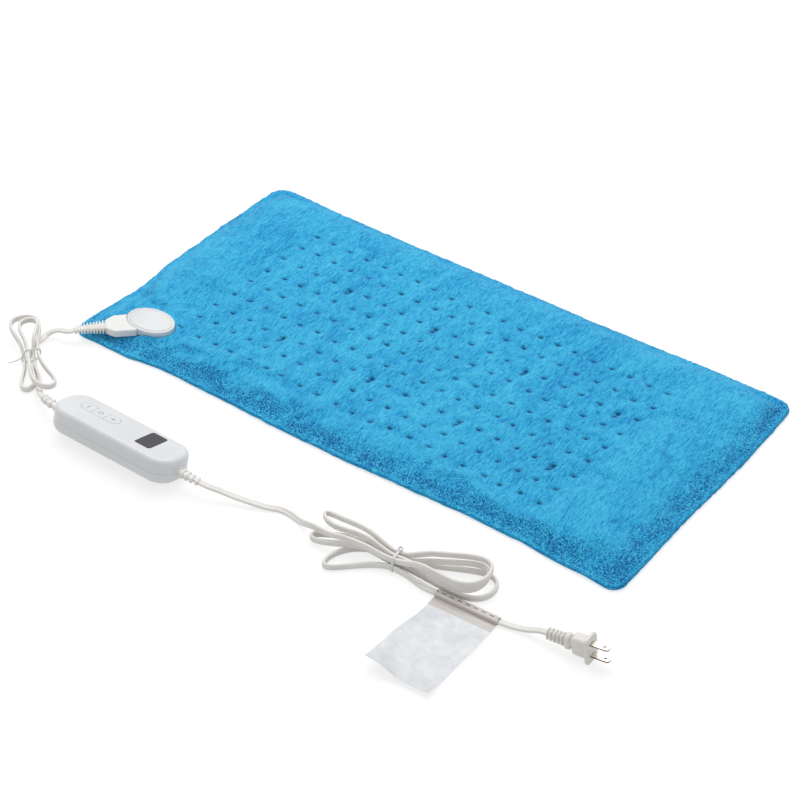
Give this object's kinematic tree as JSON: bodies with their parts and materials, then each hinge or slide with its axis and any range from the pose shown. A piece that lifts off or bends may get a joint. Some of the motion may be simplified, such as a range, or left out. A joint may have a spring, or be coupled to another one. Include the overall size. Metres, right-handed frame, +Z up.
{
  "type": "heating_pad",
  "caption": "Electric heating pad of quilted blue fleece with a white hand controller, minus, power and plus keys, a display, two tied cords, a folded tag and a two-blade plug",
  "frame": {"origin": "centre of the pad's underside, on the floor", "axes": "+X along the pad's long side, the socket at the -X end; +Y along its short side, away from the controller; +Z up"},
  "size_m": [0.7119, 0.4986, 0.0349],
  "materials": {
    "fleece": "plush velour pile with fine nap streaks",
    "under_fleece": "short pile",
    "carrier_felt": "thin non-woven cloth",
    "wire_silicone": "silicone insulation",
    "white_gloss": "semi-gloss moulded",
    "white_satin": "satin moulded",
    "cord_vinyl": "satin vinyl",
    "tie_plastic": "satin",
    "board_green": "solder mask",
    "part_black": "moulded",
    "part_blue": "moulded",
    "fuse_glass": "clear",
    "window_smoke": "smoked, polished",
    "tag_paper": "coated film",
    "nickel": "nickel plated",
    "brass": "plain"
  },
  "bodies": {
    "pad": {"pad_cover_top": "fleece", "pad_cover_bottom": "under_fleece", "heater_carrier": "carrier_felt", "heating_wire": "wire_silicone", "thermostat_1": "part_black", "thermostat_2": "part_black", "socket_clamp_plate": "white_satin", "socket_base": "white_satin", "socket_cover": "white_gloss", "socket_pin_1": "nickel", "socket_pin_2": "nickel", "socket_pin_3": "nickel"},
    "control_set": {"connector_upper_shell": "white_gloss", "connector_lower_shell": "white_gloss", "contact_sleeve_1": "brass", "contact_sleeve_2": "brass", "contact_sleeve_3": "brass", "connector_strain_relief": "cord_vinyl", "lead_run": "cord_vinyl", "lead_hank": "cord_vinyl", "lead_tie": "tie_plastic", "lead_gland": "cord_vinyl", "mains_gland": "cord_vinyl", "controller_bottom_housing": "white_satin", "controller_top_housing": "white_gloss", "housing_screw_1": "nickel", "housing_screw_2": "nickel", "housing_screw_3": "nickel", "housing_screw_4": "nickel", "circuit_board": "board_green", "minus_switch": "part_black", "power_switch": "part_black", "plus_switch": "part_black", "display_module": "part_black", "display_window": "window_smoke", "fuse": "fuse_glass", "capacitor": "part_blue", "triac": "part_black", "mains_run_a": "cord_vinyl", "mains_hank": "cord_vinyl", "mains_tie": "tie_plastic", "mains_run_b": "cord_vinyl", "cord_tag": "tag_paper", "plug_body": "cord_vinyl", "plug_strain_relief": "cord_vinyl", "plug_blade_1": "nickel", "plug_blade_2": "nickel"},
    "minus_key": {"minus_button": "white_satin"},
    "power_key": {"power_button": "white_satin"},
    "plus_key": {"plus_button": "white_satin"}
  },
  "joints": [
    {"name": "connector_pull", "type": "slide", "parent": "pad", "child": "control_set", "axis": [-0.7314, -0.682, 0], "range_m": [0, 0.016]},
    {"name": "minus_button_press", "type": "slide", "parent": "control_set", "child": "minus_key", "axis": [-0.0077, -0.2755, -0.9613], "range_m": [0, 0.0005], "stiffness_N_per_m": 800, "springref_m": -0.0006},
    {"name": "power_button_press", "type": "slide", "parent": "control_set", "child": "power_key", "axis": [-0.0077, -0.2755, -0.9613], "range_m": [0, 0.0005], "stiffness_N_per_m": 800, "springref_m": -0.0006},
    {"name": "plus_button_press", "type": "slide", "parent": "control_set", "child": "plus_key", "axis": [-0.0077, -0.2755, -0.9613], "range_m": [0, 0.0005], "stiffness_N_per_m": 800, "springref_m": -0.0006}
  ]
}
